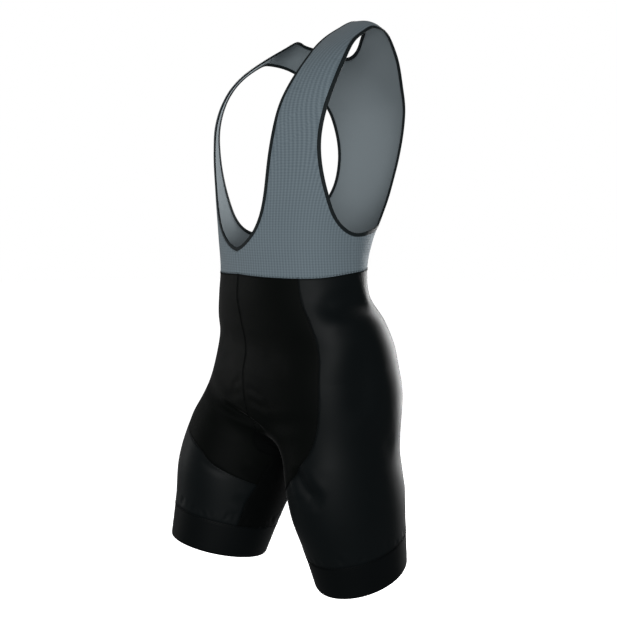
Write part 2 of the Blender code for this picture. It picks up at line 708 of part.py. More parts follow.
def binding(name, line, closed):
    points, _, normals, into = edge_frames(line, closed)
    if not closed:
        mirror = np.array([-1, 1, 1])
        points = np.concatenate([points, (points * mirror)[-2:0:-1]])
        normals = np.concatenate([normals, (normals * mirror)[-2:0:-1]])
        into = np.concatenate([into, (into * mirror)[-2:0:-1]])
    ring = np.array(BINDING_SECTION) * (BINDING_WIDTH / 2, BINDING_THICKNESS / 2)
    centre = points - normals * KNIT_WALL / 2
    solid = centre[:, None] + into[:, None] * ring[:, :1] + normals[:, None] * ring[:, 1:]
    count, corners = len(centre), len(ring)
    faces = []
    for k in range(count):
        for c in range(corners):
            a, b = k * corners + c, k * corners + (c + 1) % corners
            far = ((k + 1) % count) * corners - k * corners
            faces += [(a, b, b + far), (a, b + far, a + far)]
    faces = np.array(faces)
    solid = solid.reshape(-1, 3)
    spokes = solid - np.repeat(centre, corners, axis=0)
    faces = facing_out(solid, faces, spokes)
    return add_object(name, solid, [tuple(face) for face in faces.tolist()], "binding")


NECK_LINE = smooth_line(NECK_EDGE, ANGLE_SCALE, NECK_STATIONS)
ARM_LINE = smooth_line(ARM_EDGE, ANGLE_SCALE, ARM_STATIONS, closed=True)
binding("neck_binding", NECK_LINE, False)
binding("armhole_binding_left", ARM_LINE, True)
binding("armhole_binding_right", ARM_LINE * np.array([-1.0, 1.0]), True)


# Bib: one knitted piece, drawn as its left half and mirrored onto the right

def waist_edge():
    """The knit's lower edge in the chart, a seam's gap above the points where the shorts' panels end."""
    points = shorts(1, *np.concatenate([WAIST_FRONT, WAIST_SIDE[1:]]).T)
    fine = np.linspace(SECTIONS[0, 0], SECTIONS[-1, 0], LINE_SAMPLES)
    along = np.interp(points[:, 2], smooth_rows(SECTIONS, fine)[0], fine)
    _, half, front, back, middle = smooth_rows(SECTIONS, along)
    ahead = middle - points[:, 1]
    deep = np.where(ahead > 0, middle - front, back - middle)
    sine = signed_power(points[:, 0] / half, ROUND / 2)
    cosine = signed_power(ahead / deep, ROUND / 2)
    angle = np.arctan2(sine, cosine)
    angle[0], angle[-1] = 0.0, np.pi
    return np.stack([angle * ANGLE_ARM, along + SEAM_GAP / 2], -1)


def bib(name):
    waist = waist_edge()
    neck = panel_line(NECK_LINE, False)
    arm = panel_line(ARM_LINE, True)
    front_middle = straight(neck[0], waist[0], FRONT_MIDDLE_PIECES)
    back_middle = straight(waist[-1], neck[-1], BACK_MIDDLE_PIECES)
    outline = joined(waist, back_middle, neck[::-1], front_middle)
    points, faces = fill([outline, arm], KNIT_STEP)
    angle, along = points[:, 0] / ANGLE_ARM, points[:, 1]
    on_middle = (np.abs(angle) < 1e-9) | (np.abs(angle - np.pi) < 1e-9)
    outer = trunk(angle, along)
    normals = trunk_normals(angle, along)
    outer[on_middle, 0] = 0.0
    normals[on_middle, 0] = 0.0
    normals = unit(normals)
    faces = facing_out(outer, faces, normals)
    inner = outer - normals * KNIT_WALL
    twin = np.where(on_middle, np.arange(len(outer)), -1)
    twin[~on_middle] = len(outer) + np.arange((~on_middle).sum())
    mirror = np.array([-1, 1, 1])
    outer = np.concatenate([outer, outer[~on_middle] * mirror])
    inner = np.concatenate([inner, inner[~on_middle] * mirror])
    faces = np.concatenate([faces, twin[faces][:, ::-1]])
    solid = walled(outer, inner, faces, rim_edges(faces))
    return add_object(name, *solid, "knit")


bib("bib")
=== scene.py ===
import bmesh
import bpy
import numpy as np
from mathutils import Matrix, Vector
from mathutils.kdtree import KDTree


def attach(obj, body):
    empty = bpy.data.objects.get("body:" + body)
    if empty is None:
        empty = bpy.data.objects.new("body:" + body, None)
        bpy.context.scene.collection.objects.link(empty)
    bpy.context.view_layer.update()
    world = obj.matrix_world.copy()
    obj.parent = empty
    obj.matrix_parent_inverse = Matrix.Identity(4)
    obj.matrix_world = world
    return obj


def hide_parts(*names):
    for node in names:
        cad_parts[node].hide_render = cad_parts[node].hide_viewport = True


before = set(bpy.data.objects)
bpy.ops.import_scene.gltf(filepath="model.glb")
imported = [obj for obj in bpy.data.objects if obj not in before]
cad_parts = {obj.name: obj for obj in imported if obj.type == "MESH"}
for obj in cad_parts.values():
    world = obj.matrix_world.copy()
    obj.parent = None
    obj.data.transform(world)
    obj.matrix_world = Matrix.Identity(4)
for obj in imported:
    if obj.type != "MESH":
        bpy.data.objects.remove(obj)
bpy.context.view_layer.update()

# The studio. A pale glowing floor lies well below the hems, in front of a white backdrop. One soft lamp is
# behind the camera, and tall soft strips at the left and behind draw the outline. The backdrop is white to
# the camera and dimmer as a light, and the floor lights nothing, so that the cloth keeps its shading.

CAMERA_AT = Vector((0.8625, -0.7012, -0.3090))
CAMERA_AIM = Vector((0.0, -0.0560, -0.4310))
CAMERA_LENS = 38.33
CAMERA_SHIFT = (0.0235, -0.0066)
SENSOR = 36.0
LAMP_AIM = Vector((0.0, -0.04, -0.45))
LAMPS = [
    # name, place, width and height in metres, watts
    ("lamp_ahead", (1.90, -1.40, -0.20), (1.0, 1.4), 34),
    ("strip_left", (-1.38, -1.34, -0.20), (0.40, 1.8), 11),
    ("strip_far_left", (-1.85, -0.45, -0.30), (0.40, 1.8), 1.5),
    ("strip_behind_right", (-0.26, 1.82, -0.30), (0.45, 1.8), 50),
]
FLOOR_DROP = 1.42
FLOOR_RADIUS = 14.0
FLOOR_COLOUR = (0.96, 0.96, 0.96, 1.0)
FLOOR_GLOW = 1.00
WHITE = (1.0, 1.0, 1.0, 1.0)
BACKDROP = 1.0
FILL = 0.15

camera_data = bpy.data.cameras.new("camera")
camera_data.lens = CAMERA_LENS
camera_data.sensor_width = SENSOR
camera_data.shift_x, camera_data.shift_y = CAMERA_SHIFT
camera = bpy.data.objects.new("camera", camera_data)
camera.location = CAMERA_AT
camera.rotation_euler = (CAMERA_AIM - CAMERA_AT).to_track_quat("-Z", "Y").to_euler()
bpy.context.scene.collection.objects.link(camera)
bpy.context.scene.camera = camera
bpy.context.scene.view_settings.view_transform = "Standard"

world = bpy.data.worlds.new("studio")
world.use_nodes = True
backdrop = world.node_tree.nodes["Background"]
backdrop.inputs["Color"].default_value = WHITE
seen = world.node_tree.nodes.new("ShaderNodeLightPath")
strength = world.node_tree.nodes.new("ShaderNodeMapRange")
strength.inputs["To Min"].default_value = FILL
strength.inputs["To Max"].default_value = BACKDROP
world.node_tree.links.new(seen.outputs["Is Camera Ray"], strength.inputs["Value"])
world.node_tree.links.new(strength.outputs["Result"], backdrop.inputs["Strength"])
bpy.context.scene.world = world


def soft_lamp(name, place, size, power):
    lamp = bpy.data.lights.new(name, "AREA")
    lamp.shape = "RECTANGLE"
    lamp.size, lamp.size_y = size
    lamp.energy = power
    thing = bpy.data.objects.new(name, lamp)
    thing.location = place
    thing.rotation_euler = (LAMP_AIM - thing.location).to_track_quat("-Z", "Y").to_euler()
    bpy.context.scene.collection.objects.link(thing)


for lamp_row in LAMPS:
    soft_lamp(*lamp_row)

floor_mesh = bmesh.new()
bmesh.ops.create_circle(floor_mesh, cap_ends=True, segments=96, radius=FLOOR_RADIUS)
floor_data = bpy.data.meshes.new("floor")
floor_mesh.to_mesh(floor_data)
floor_mesh.free()
floor = bpy.data.objects.new("floor", floor_data)
floor.location.z = -FLOOR_DROP
bpy.context.scene.collection.objects.link(floor)
floor_paint = bpy.data.materials.new("pale_floor")
floor_paint.use_nodes = True
floor_shader = floor_paint.node_tree.nodes["Principled BSDF"]
floor_shader.inputs["Base Color"].default_value = FLOOR_COLOUR
floor_shader.inputs["Roughness"].default_value = 0.9
floor_shader.inputs["Emission Color"].default_value = WHITE
floor_shader.inputs["Emission Strength"].default_value = FLOOR_GLOW
floor_data.materials.append(floor_paint)
floor.visible_diffuse = floor.visible_glossy = False

# Front panels. Two pieces of matt black stretch knit, cut from waist to thigh and joined down the middle.
# Each is a thin shell laid on the worn form, which the tables below give, and creased where the right leg
# steps forward. They are sewn to the bib, to the side panels and to the inner leg panels with flat seams.

SECTIONS = np.array([
    # along, height, half, front, back, middle
    (-0.155, -0.531, 0.1603, -0.1565, 0.0666, -0.0460),
    (-0.115, -0.491, 0.1672, -0.1504, 0.0724, -0.0460),
    (-0.075, -0.451, 0.1617, -0.1584, 0.0593, -0.0460),
    (-0.035, -0.411, 0.1424, -0.1655, 0.0318, -0.0460),
    (0.000, -0.376, 0.1373, -0.1639, 0.0272, -0.0460),
    (0.055, -0.321, 0.1363, -0.1680, 0.0496, -0.0463),
    (0.128, -0.251, 0.1467, -0.1710, 0.0966, -0.0364),
    (0.198, -0.181, 0.1614, -0.1695, 0.1182, -0.0274),
    (0.239, -0.141, 0.1743, -0.1620, 0.1192, -0.0199),
    (0.285, -0.099, 0.1837, -0.1420, 0.1104, -0.0117),
    (0.312, -0.076, 0.1845, -0.1248, 0.0977, -0.0079),
    (0.343, -0.051, 0.1757, -0.0982, 0.0816, -0.0080),
    (0.371, -0.031, 0.1559, -0.0691, 0.0678, -0.0113),
    (0.396, -0.016, 0.1385, -0.0444, 0.0558, -0.0112),
    (0.425, -0.003, 0.1196, -0.0228, 0.0465, -0.0032),
    (0.455, 0.006, 0.0953, -0.0094, 0.0350, 0.0052),
    (0.490, 0.0115, 0.0650, -0.0010, 0.0230, 0.0100),
    (0.540, 0.0145, 0.0150, 0.0080, 0.0130, 0.0100),
])
ROUND = 2.3
HIP_Z = -0.531
HIP_DEPTH = 0.127
HIP_ROUND = 2.6
HIP_FALL = 0.11
HIP_ROWS = 9
HIP_JOINT = {1: np.array([0.0862, -0.0536, -0.5448]), -1: np.array([-0.0862, -0.0536, -0.5448])}
HEM_MIDDLE = {1: np.array([0.1129, -0.0030, -0.8612]), -1: np.array([-0.0931, -0.1486, -0.8490])}
TOE_OUT = {1: -0.0934, -1: -0.1390}
GIRTH = {1: 1.0, -1: 1.04}
THIGH = np.array([
    # share of the way to the hem, half width, half depth
    (-0.20, 0.0623, 0.0633),
    (0.10, 0.0695, 0.0790),
    (0.35, 0.0781, 0.1010),
    (0.60, 0.0787, 0.1054),
    (0.80, 0.0747, 0.0931),
    (1.00, 0.0681, 0.0840),
    (1.10, 0.0640, 0.0800),
])
THIGH_CAP_START, THIGH_CAP_LENGTH = -0.02, 0.30
SEAT_MIDDLE = np.array([0.0779, 0.0029, -0.5759])
SEAT_HALF = np.array([0.0852, 0.0776, 0.1086])
BLEND = 0.035
PROBE = 2e-4
SAME_POINT = 2e-5
SHEET_REACH = 5e-4
STRAIGHT_RIM = 0.80
CLOTH_WALL = 0.0012
ROUNDS = 3

FRONT_CREASES = [
    # start, middle and end in metres, half width, depth, ridge beside it as a share of the depth
    ((-0.072, -0.166, -0.586), (-0.018, -0.150, -0.608), (0.030, -0.134, -0.628), 0.0062, 0.0064, 0.15),
    ((-0.120, -0.135, -0.565), (-0.085, -0.158, -0.580), (-0.050, -0.164, -0.592), 0.0100, 0.0020, 0.40),
    ((-0.075, -0.165, -0.610), (-0.040, -0.160, -0.625), (-0.012, -0.140, -0.640), 0.0100, 0.0014, 0.40),
    ((0.030, -0.148, -0.612), (0.075, -0.138, -0.600), (0.125, -0.100, -0.580), 0.0100, 0.0013, 0.45),
    ((0.004, -0.156, -0.552), (0.029, -0.155, -0.557), (0.052, -0.151, -0.565), 0.0055, 0.0009, 0.35),
    ((0.004, -0.153, -0.576), (0.033, -0.152, -0.577), (0.060, -0.147, -0.589), 0.0060, 0.0010, 0.35),
    ((0.044, -0.152, -0.566), (0.062, -0.148, -0.580), (0.072, -0.141, -0.606), 0.0065, 0.0008, 0.35),
    ((-0.004, -0.157, -0.545), (-0.022, -0.157, -0.553), (-0.040, -0.156, -0.570), 0.0055, 0.0008, 0.35),
    ((-0.004, -0.154, -0.566), (-0.026, -0.156, -0.571), (-0.052, -0.160, -0.582), 0.0065, 0.0008, 0.35),
    ((0.042, -0.148, -0.494), (0.074, -0.145, -0.505), (0.105, -0.139, -0.521), 0.0120, 0.0008, 0.40),
    ((-0.040, -0.150, -0.480), (-0.075, -0.146, -0.490), (-0.110, -0.137, -0.512), 0.0120, 0.0008, 0.40),
]
LEG_CREASES = [
    ((0.108, -0.134, -0.656), (0.123, -0.130, -0.688), (0.152, -0.110, -0.714), 0.0115, 0.0078, 0.10),
    ((0.108, -0.134, -0.700), (0.122, -0.130, -0.712), (0.134, -0.124, -0.724), 0.0080, 0.0014, 0.30),
    ((-0.066, -0.203, -0.676), (-0.044, -0.190, -0.694), (-0.024, -0.166, -0.706), 0.0060, 0.0012, 0.00),
    ((0.060, -0.095, -0.690), (0.045, -0.065, -0.712), (0.040, -0.030, -0.725), 0.0070, 0.0015, 0.50),
    ((0.062, -0.110, -0.735), (0.048, -0.075, -0.752), (0.044, -0.035, -0.760), 0.0080, 0.0010, 0.45),
    ((-0.028, -0.150, -0.690), (-0.022, -0.120, -0.712), (-0.022, -0.085, -0.722), 0.0070, 0.0014, 0.50),
    ((-0.026, -0.165, -0.738), (-0.030, -0.135, -0.756), (-0.034, -0.105, -0.760), 0.0080, 0.0010, 0.45),
    ((-0.150, -0.150, -0.665), (-0.158, -0.125, -0.690), (-0.158, -0.095, -0.705), 0.0090, 0.0012, 0.45),
]
HIP_CREASES = [
    ((0.128, -0.118, -0.430), (0.141, -0.072, -0.415), (0.139, -0.020, -0.402), 0.0140, 0.0034, 0.30),
    ((0.148, -0.094, -0.440), (0.149, -0.054, -0.426), (0.141, -0.018, -0.414), 0.0100, 0.0016, 0.35),
    ((-0.130, -0.112, -0.424), (-0.141, -0.066, -0.410), (-0.136, -0.022, -0.400), 0.0130, 0.0024, 0.35),
    ((-0.150, -0.090, -0.446), (-0.150, -0.050, -0.432), (-0.141, -0.012, -0.416), 0.0100, 0.0014, 0.35),
    ((0.166, -0.062, -0.462), (0.169, -0.058, -0.530), (0.170, -0.060, -0.600), 0.0240, 0.0036, 0.00),
    ((-0.167, -0.060, -0.466), (-0.169, -0.064, -0.530), (-0.168, -0.074, -0.590), 0.0260, 0.0022, 0.00),
    ((0.172, -0.050, -0.580), (0.172, -0.018, -0.618), (0.162, 0.020, -0.644), 0.0200, 0.0020, 0.00),
    ((0.142, 0.062, -0.668), (0.105, 0.075, -0.676), (0.050, 0.050, -0.672), 0.0130, 0.0022, 0.25),
    ((0.150, 0.040, -0.700), (0.105, 0.070, -0.712), (0.065, 0.060, -0.706), 0.0100, 0.0012, 0.45),
    ((-0.160, 0.020, -0.640), (-0.105, 0.055, -0.660), (-0.045, 0.035, -0.664), 0.0110, 0.0020, 0.45),
    ((0.004, 0.050, -0.600), (0.028, 0.062, -0.590), (0.052, 0.068, -0.574), 0.0060, 0.0014, 0.55),
    ((0.004, 0.040, -0.624), (0.026, 0.052, -0.622), (0.050, 0.058, -0.612), 0.0060, 0.0014, 0.55),
    ((-0.004, 0.048, -0.608), (-0.026, 0.060, -0.596), (-0.050, 0.066, -0.584), 0.0060, 0.0013, 0.55),
    ((-0.004, 0.036, -0.632), (-0.026, 0.048, -0.630), (-0.046, 0.054, -0.622), 0.0060, 0.0013, 0.55),
    ((0.020, 0.030, -0.420), (0.060, 0.028, -0.414), (0.100, 0.012, -0.408), 0.0100, 0.0012, 0.40),
    ((-0.015, 0.032, -0.430), (-0.060, 0.032, -0.424), (-0.105, 0.012, -0.416), 0.0100, 0.0012, 0.40),
]
GATHERS = 30
GATHER_SHARE = 0.822
GATHER_RING = (0.078, 0.098)
GATHER_LENGTH = 0.014
GATHER_WIDTH = 0.0040
GATHER_DEPTH, GATHER_DEEPER = 0.0004, 0.0003
GATHER_RIDGE = 0.5
SEAM_SINK = 0.0006
SEAM_REACH = 0.00014
CREASE_STEP = 0.0015
CREASE_REACH = 3.5
CREASE_FADE = 0.32
RIDGE_PLACE = 1.9
RIDGE_SPREAD = 0.6
SHARP = np.radians(60)


def smooth_rows(table, at):
    """Each column of the table at these keys, by a smooth curve through its rows."""
    keys, values = table[:, 0], table[:, 1:]
    at = np.clip(np.asarray(at, float), keys[0], keys[-1])
    row = np.clip(np.searchsorted(keys, at, side="right") - 1, 0, len(keys) - 2)
    slope = np.gradient(values, keys, axis=0)
    wide = (keys[row + 1] - keys[row])[..., None]
    t = (at - keys[row])[..., None] / wide
    out = (2 * t**3 - 3 * t**2 + 1) * values[row] + (t**3 - 2 * t**2 + t) * wide * slope[row]
    out += (-2 * t**3 + 3 * t**2) * values[row + 1] + (t**3 - t**2) * wide * slope[row + 1]
    return np.moveaxis(out, -1, 0)


def unit(vectors):
    return vectors / np.linalg.norm(vectors, axis=-1, keepdims=True)


def leg_axes(side):
    """Unit vectors along the thigh, outward and forward, and the thigh's length."""
    along = HEM_MIDDLE[side] - HIP_JOINT[side]
    length = np.linalg.norm(along)
    along = along / length
    outward = np.array([side, 0.0, 0.0])
    outward = unit(outward - outward @ along * along)
    forward = np.cross(along, outward) * side
    forward = forward if forward[1] < 0 else -forward
    turn_cos, turn_sin = np.cos(TOE_OUT[side]), np.sin(TOE_OUT[side])
    return along, outward * turn_cos + forward * turn_sin, forward * turn_cos - outward * turn_sin, length


def melt(one, other):
    """The smaller of two distances, blended smoothly where they are nearly equal."""
    near = np.maximum(BLEND - np.abs(one - other), 0) / BLEND
    return np.minimum(one, other) - near * near * BLEND / 4


def shorts_form(points):
    """How far outside the worn form of the shorts points lie; negative is inside."""
    x, y, z = points[..., 0], points[..., 1], points[..., 2]
    half, front, back, middle = smooth_rows(SECTIONS[:HIP_ROWS, 1:], z)
    deep = np.where(y < middle, middle - front, back - middle)
    plan = (np.abs(x / half) ** ROUND + np.abs((y - middle) / deep) ** ROUND) ** (1 / ROUND)
    below = np.maximum(HIP_Z - z, 0) / HIP_DEPTH
    found = ((plan**HIP_ROUND + below**HIP_ROUND) ** (1 / HIP_ROUND) - 1) * HIP_FALL
    for side in (1, -1):
        along, outward, forward, length = leg_axes(side)
        offset = points - HIP_JOINT[side]
        share = offset @ along / length
        wide, deep = smooth_rows(THIGH, share) * GIRTH[side]
        ring = (offset @ outward / wide) ** 2 + (offset @ forward / deep) ** 2
        cap = np.minimum(share - THIGH_CAP_START, 0) / THIGH_CAP_LENGTH
        thigh = (np.sqrt(ring + cap**2) - 1) * np.minimum(wide, deep)
        seat = (points - SEAT_MIDDLE * np.array([side, 1, 1])) / SEAT_HALF
        seat = (np.linalg.norm(seat, axis=-1) - 1) * SEAT_HALF[1]
        found = melt(found, melt(thigh, seat))
    return found


def shorts_slopes(points):
    """Which way, and how steeply, the form's distance grows at the points."""
    steps = np.eye(3) * PROBE
    rises = [shorts_form(points + step) - shorts_form(points - step) for step in steps]
    return np.stack(rises, -1) / (2 * PROBE)


def onto_shorts(points):
    """Points near the worn form of the shorts, moved straight onto it."""
    for _ in range(3):
        slopes = shorts_slopes(points)
        points = points - slopes * (shorts_form(points) / (slopes**2).sum(-1))[..., None]
    return points


def node_mesh(name):
    """Points and triangles of a solid of the frame, its doubled points merged."""
    work = bmesh.new()
    work.from_mesh(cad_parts[name].data)
    bmesh.ops.remove_doubles(work, verts=work.verts, dist=SAME_POINT)
    bmesh.ops.triangulate(work, faces=work.faces)
    work.verts.index_update()
    points = np.array([vertex.co for vertex in work.verts], float)
    faces = np.array([[vertex.index for vertex in face.verts] for face in work.faces])
    work.free()
    return points, faces


def sheet_of(points, faces, on_sheet):
    """The triangles whose points all lie on the outer sheet, with only their own points."""
    faces = faces[on_sheet[faces].all(axis=1)]
    used = np.unique(faces)
    place = np.full(len(points), -1)
    place[used] = np.arange(len(used))
    return points[used], place[faces]


def rim_of(faces):
    """The point after each rim point, going round the sheet, and -1 elsewhere."""
    edges = np.concatenate([faces[:, [0, 1]], faces[:, [1, 2]], faces[:, [2, 0]]])
    count = faces.max() + 1
    key = edges[:, 0] * count + edges[:, 1]
    twin = edges[:, 1] * count + edges[:, 0]
    rim = edges[~np.isin(key, twin)]
    after = np.full(count, -1)
    after[rim[:, 0]] = rim[:, 1]
    return after


def rim_loops(faces):
    """The rims of a sheet, each as its point numbers in order."""
    after = rim_of(faces)
    left = set(np.flatnonzero(after >= 0).tolist())
    loops = []
    while left:
        start = min(left)
        loop = [start]
        while after[loop[-1]] != start:
            loop.append(int(after[loop[-1]]))
        left -= set(loop)
        loops.append(np.array(loop))
    return loops


def refined(points, faces, rounds, settle):
    """The sheet with each triangle split in four per round, its rims smoothed by the four-point rule."""
    for _ in range(rounds):
        after = rim_of(faces)
        before = np.full(len(points), -1)
        before[after[after >= 0]] = np.flatnonzero(after >= 0)
        edges = np.sort(np.concatenate([faces[:, [0, 1]], faces[:, [1, 2]], faces[:, [2, 0]]]), axis=1)
        pairs, which = np.unique(edges, axis=0, return_inverse=True)
        which = which.ravel()
        a, b = pairs.T
        middle = (points[a] + points[b]) / 2
        forward = (after[a] == b)
        start, end = np.where(forward, a, b), np.where(forward, b, a)
        rim = (after[start] == end) & (before[start] >= 0) & (after[end] >= 0)
        start, end = start[rim], end[rim]
        way = points[end] - points[start]
        back = points[start] - points[before[start]]
        onward = points[after[end]] - points[end]
        bend_in = (unit(way) * unit(back)).sum(1) > STRAIGHT_RIM
        bend_out = (unit(way) * unit(onward)).sum(1) > STRAIGHT_RIM
        back = np.where(bend_in[:, None], back, way)
        onward = np.where(bend_out[:, None], onward, way)
        middle[rim] += (back - onward) / 16
        count = len(points)
        ab, bc, ca = (which.reshape(3, -1) + count)
        faces = np.concatenate([
            np.stack([faces[:, 0], ab, ca], 1), np.stack([faces[:, 1], bc, ab], 1),
            np.stack([faces[:, 2], ca, bc], 1), np.stack([ab, bc, ca], 1),
        ])
        points = settle(np.concatenate([points, middle]))
    return points, faces


def sheet_normals(points, faces):
    a, b, c = points[faces[:, 0]], points[faces[:, 1]], points[faces[:, 2]]
    flat = np.cross(b - a, c - a)
    total = np.zeros_like(points)
    for column in range(3):
        np.add.at(total, faces[:, column], flat)
    return unit(total)


def smooth_bend(start, middle, end):
    """Closely spaced points on the bend from start to end through the middle."""
    start, middle, end = np.array(start), np.array(middle), np.array(end)
    t = np.linspace(0, 1, int(np.linalg.norm(end - start) / CREASE_STEP) + 6)[:, None]
    return (1 - t) ** 2 * start + 2 * t * (1 - t) * (2 * middle - (start + end) / 2) + t**2 * end


def rim_ways(points, normals, loop):
    """Unit vectors in the sheet, straight out of its rim, at each point of the loop."""
    along = unit(np.roll(points[loop], -1, axis=0) - np.roll(points[loop], 1, axis=0))
    return np.cross(along, normals[loop])


def gathers():
    """Small upright puckers above each gripper seam; the sines make their places and sizes uneven."""
    found = []
    for side in (1, -1):
        along, outward, forward, length = leg_axes(side)
        for k in range(GATHERS):
            turn = 2 * np.pi * (k + 0.32 * np.sin(2.4 * k * k + side)) / GATHERS
            ring = GATHER_RING[0] * np.cos(turn) * outward + GATHER_RING[1] * np.sin(turn) * forward
            low = HIP_JOINT[side] + along * GATHER_SHARE * length + ring
            tall = GATHER_LENGTH * (1 + 0.45 * np.sin(5.1 * k + side))
            lean = 0.22 * np.sin(3.3 * k + 2 * side)
            high = low - along * tall + np.cross(along, ring) * lean * tall / GATHER_RING[0]
            depth = GATHER_DEPTH + GATHER_DEEPER * abs(np.sin(1.9 * k + side))
            middle = (low + high) / 2
            found.append((tuple(low), tuple(middle), tuple(high), GATHER_WIDTH, depth, GATHER_RIDGE))
    return found


CREASES = FRONT_CREASES + LEG_CREASES + HIP_CREASES + gathers()


def creased(points, normals):
    """The points pressed in along each crease, with a low ridge beside it, fading towards its ends."""
    moved = points.copy()
    for start, middle, end, width, depth, ridge in CREASES:
        line = onto_shorts(smooth_bend(start, middle, end))
        low, high = line.min(0) - CREASE_REACH * width, line.max(0) + CREASE_REACH * width
        near = np.flatnonzero(((points > low) & (points < high)).all(axis=1))
        if not len(near):
            continue
        gaps = np.linalg.norm(points[near, None] - line[None], axis=2)
        nearest = gaps.argmin(1)
        gap = gaps.min(1) / width
        to_end = np.minimum(nearest, len(line) - 1 - nearest) / (len(line) - 1)
        fade = np.minimum(to_end / CREASE_FADE, 1)
        fade = fade * fade * (3 - 2 * fade)
        press = np.exp(-gap**2) - ridge * np.exp(-((gap - RIDGE_PLACE) ** 2) / RIDGE_SPREAD)
        moved[near] -= normals[near] * (depth * fade * press)[:, None]
    return moved


def shell(name, points, faces, normals, wall, material, chart=None, back=None):
    """A piece of cloth: the sheet, a second sheet inside it and the rim between them."""
    count = len(points)
    rim = [(a, b) for a, b in enumerate(rim_of(faces).tolist()) if b >= 0]
    solid = np.concatenate([faces, faces[:, ::-1] + count, np.array([(b, a, a + count) for a, b in rim]),
                            np.array([(b, a + count, b + count) for a, b in rim])])
    mesh = bpy.data.meshes.new(name)
    mesh.from_pydata(np.concatenate([points, points - normals * wall]).tolist(), [], solid.tolist())
    mesh.materials.append(material)
    mesh.shade_smooth()
    if back is not None:
        mesh.materials.append(back)
        inner = np.arange(len(solid)) // len(faces) == 1
        mesh.polygons.foreach_set("material_index", inner.astype(np.int32))
    if chart is not None:
        layer = mesh.uv_layers.new(name="cloth")
        corners = np.empty(len(mesh.loops), int)
        mesh.loops.foreach_get("vertex_index", corners)
        layer.data.foreach_set("uv", np.concatenate([chart, chart])[corners].ravel())
    mesh.set_sharp_from_angle(angle=SHARP)
    piece = bpy.data.objects.new(name, mesh)
    bpy.context.scene.collection.objects.link(piece)
    return piece


def new_material(name, colour, roughness):
    """A material with its node tree and its shader."""
    material = bpy.data.materials.new(name)
    material.use_nodes = True
    tree = material.node_tree
    shader = tree.nodes["Principled BSDF"]
    shader.inputs["Base Color"].default_value = (*colour, 1.0)
    shader.inputs["Roughness"].default_value = roughness
    return material, tree, shader


def stretch_knit(name, colour, light_colour, roughness, sheen, specular):
    """Fine warp knit: a close grain drawn out along the height, slow changes of tone, and a faint bloom at
    grazing angles.
    """
    material, tree, shader = new_material(name, colour, roughness)
    shader.inputs["Sheen Weight"].default_value = sheen
    shader.inputs["Sheen Roughness"].default_value = 0.22
    shader.inputs["Specular IOR Level"].default_value = specular
    place = tree.nodes.new("ShaderNodeTexCoord")
    cloudy = tree.nodes.new("ShaderNodeTexNoise")
    cloudy.inputs["Scale"].default_value = 14.0
    cloudy.inputs["Detail"].default_value = 4.0
    tint = tree.nodes.new("ShaderNodeMix")
    tint.data_type = "RGBA"
    tint.inputs["A"].default_value = (*colour, 1.0)
    tint.inputs["B"].default_value = (*light_colour, 1.0)
    grain = tree.nodes.new("ShaderNodeTexNoise")
    grain.inputs["Scale"].default_value = 900.0
    grain.inputs["Detail"].default_value = 2.0
    stretch = tree.nodes.new("ShaderNodeMapping")
    stretch.inputs["Scale"].default_value = (1.0, 1.0, 0.35)
    dull = tree.nodes.new("ShaderNodeMapRange")
    dull.inputs["To Min"].default_value = roughness - 0.06
    dull.inputs["To Max"].default_value = roughness + 0.06
    bump = tree.nodes.new("ShaderNodeBump")
    bump.inputs["Strength"].default_value = 0.35
    bump.inputs["Distance"].default_value = 0.0002
    links = tree.links
    links.new(place.outputs["Object"], cloudy.inputs["Vector"])
    links.new(place.outputs["Object"], stretch.inputs["Vector"])
    links.new(stretch.outputs["Vector"], grain.inputs["Vector"])
    links.new(cloudy.outputs["Fac"], tint.inputs["Factor"])
    links.new(tint.outputs["Result"], shader.inputs["Base Color"])
    links.new(cloudy.outputs["Fac"], dull.inputs["Value"])
    links.new(dull.outputs["Result"], shader.inputs["Roughness"])
    links.new(grain.outputs["Fac"], bump.inputs["Height"])
    links.new(bump.outputs["Normal"], shader.inputs["Normal"])
    return material


SHEETS = {}


def shorts_piece(node, material):
    """One panel of the shorts, laid on the worn form and creased, in place of its solid."""
    points, faces = node_mesh(node)
    points, faces = sheet_of(points, faces, np.abs(shorts_form(points)) < SHEET_REACH)
    points, faces = refined(points, faces, ROUNDS, onto_shorts)
    normals = unit(shorts_slopes(points))
    if (sheet_normals(points, faces) * normals).sum() < 0:
        faces = faces[:, ::-1]
    points = creased(points, normals)
    normals = sheet_normals(points, faces)
    SHEETS[node] = points.copy(), faces, normals
    for loop in rim_loops(faces):
        points[loop] += rim_ways(points, normals, loop) * SEAM_REACH - normals[loop] * SEAM_SINK
    piece = shell("cloth_" + node, points, faces, normals, CLOTH_WALL, material)
    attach(piece, "root")
    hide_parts(node)
    return piece


front_knit = stretch_knit(
    "front_knit", colour=(0.0014, 0.0020, 0.0018), light_colour=(0.0022, 0.0030, 0.0026),
    roughness=0.60, sheen=0.045, specular=0.05,
)
for side in ("left", "right"):
    shorts_piece("front_" + side, front_knit)

# Side and back panels. One piece of satin black stretch knit each side, from the front seam round the outside
# of the leg to the seam down the middle of the back. Its face is bluer and smoother than the front panels'.

side_knit = stretch_knit(
    "side_knit", colour=(0.0018, 0.0034, 0.0040), light_colour=(0.0028, 0.0046, 0.0052),
    roughness=0.52, sheen=0.055, specular=0.12,
)
for side in ("left", "right"):
    shorts_piece("side_back_" + side, side_knit)

# Inner leg panels. A narrow piece of matt knit down the inside of each leg, from the crotch to the gripper
# band, sewn with flat seams between the front panel and the side and back panel.

inner_knit = stretch_knit(
    "inner_knit", colour=(0.0012, 0.0017, 0.0017), light_colour=(0.0018, 0.0024, 0.0023),
    roughness=0.60, sheen=0.045, specular=0.05,
)
for side in ("left", "right"):
    shorts_piece("inner_leg_" + side, inner_knit)

